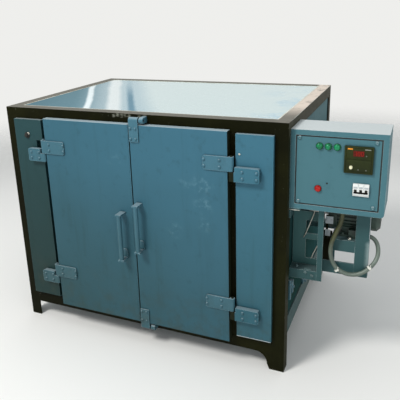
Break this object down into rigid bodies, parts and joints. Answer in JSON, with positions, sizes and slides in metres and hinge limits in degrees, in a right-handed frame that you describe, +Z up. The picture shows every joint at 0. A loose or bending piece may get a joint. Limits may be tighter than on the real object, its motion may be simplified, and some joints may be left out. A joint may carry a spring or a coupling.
{
  "type": "tray dryer",
  "caption": "Insulated hot air tray dryer on an angle iron frame, with overlay double doors on flag hinges, a side control box and a side-mounted fan motor.",
  "frame": {"origin": "on the floor, under the middle of the whole dryer with its control box and handles", "axes": "+X to the right along the front, towards the control box; +Y from the doors to the back; +Z up"},
  "size_m": [1.593, 0.961, 1.034],
  "materials": {
    "black_paint": "satin",
    "blue_paint": "satin",
    "breaker_plastic": "matte",
    "cast_aluminium": "cast",
    "conduit_pvc": "matte",
    "controller_plastic": "matte",
    "gland_plastic": "matte",
    "green_lens": "gloss",
    "inner_metal": "dull",
    "motor_paint": "painted",
    "red_lens": "gloss",
    "roof_metal": "polished",
    "shaft_steel": "machined",
    "toggle_plastic": "matte"
  },
  "bodies": {
    "cabinet": {"box_bracket": "blue_paint", "circuit_breaker": "breaker_plastic", "conduit": "conduit_pvc", "conduit_glands": "gland_plastic", "control_box": "blue_paint", "control_cover": "blue_paint", "duct_walls": "inner_metal", "floor_panel": "blue_paint", "hinge_leaves_stile_left": "blue_paint", "hinge_leaves_stile_right": "blue_paint", "jambs": "black_paint", "lamp_red": "red_lens", "lamps_green": "green_lens", "latch_keepers": "blue_paint", "motor_body": "motor_paint", "motor_cowl": "motor_paint", "motor_ledge": "blue_paint", "motor_shaft": "shaft_steel", "motor_shield": "cast_aluminium", "post_front_left": "black_paint", "post_front_right": "black_paint", "post_rear_left": "black_paint", "post_rear_right": "black_paint", "rails_bottom_long": "black_paint", "rails_bottom_short": "blue_paint", "rails_top_long": "black_paint", "rails_top_short": "black_paint", "roof_panel": "roof_metal", "stand_base_bar": "blue_paint", "stand_inner_bar": "blue_paint", "stand_ladder": "blue_paint", "stand_post": "blue_paint", "stand_rear_arm": "blue_paint", "stand_tray": "blue_paint", "stand_upright": "blue_paint", "stile_panel_left": "blue_paint", "stile_panel_right": "blue_paint", "temperature_controller": "controller_plastic", "tray_runners_left": "inner_metal", "tray_runners_right": "inner_metal", "wall_back": "blue_paint", "walls_side": "blue_paint"},
    "left_door": {"door_left": "blue_paint", "door_plug_left": "inner_metal", "handle_left": "blue_paint", "hinge_leaves_door_left": "blue_paint"},
    "right_door": {"door_right": "blue_paint", "door_plug_right": "inner_metal", "handle_right": "blue_paint", "hinge_leaves_door_right": "blue_paint", "latches": "blue_paint"},
    "toggle": {"breaker_toggle": "toggle_plastic"}
  },
  "joints": [
    {"name": "left_door_hinge", "type": "hinge", "parent": "cabinet", "child": "left_door", "pos_m": [-0.5915, -0.4305, 0.5], "axis": [0, 0, 1], "range_deg": [-95, 0]},
    {"name": "right_door_hinge", "type": "hinge", "parent": "cabinet", "child": "right_door", "pos_m": [0.2585, -0.4305, 0.5], "axis": [0, 0, 1], "range_deg": [0, 95]},
    {"name": "breaker_toggle", "type": "hinge", "parent": "cabinet", "child": "toggle", "pos_m": [0.7145, -0.3755, 0.7995], "axis": [1, 0, 0], "range_deg": [0, 60]}
  ]
}
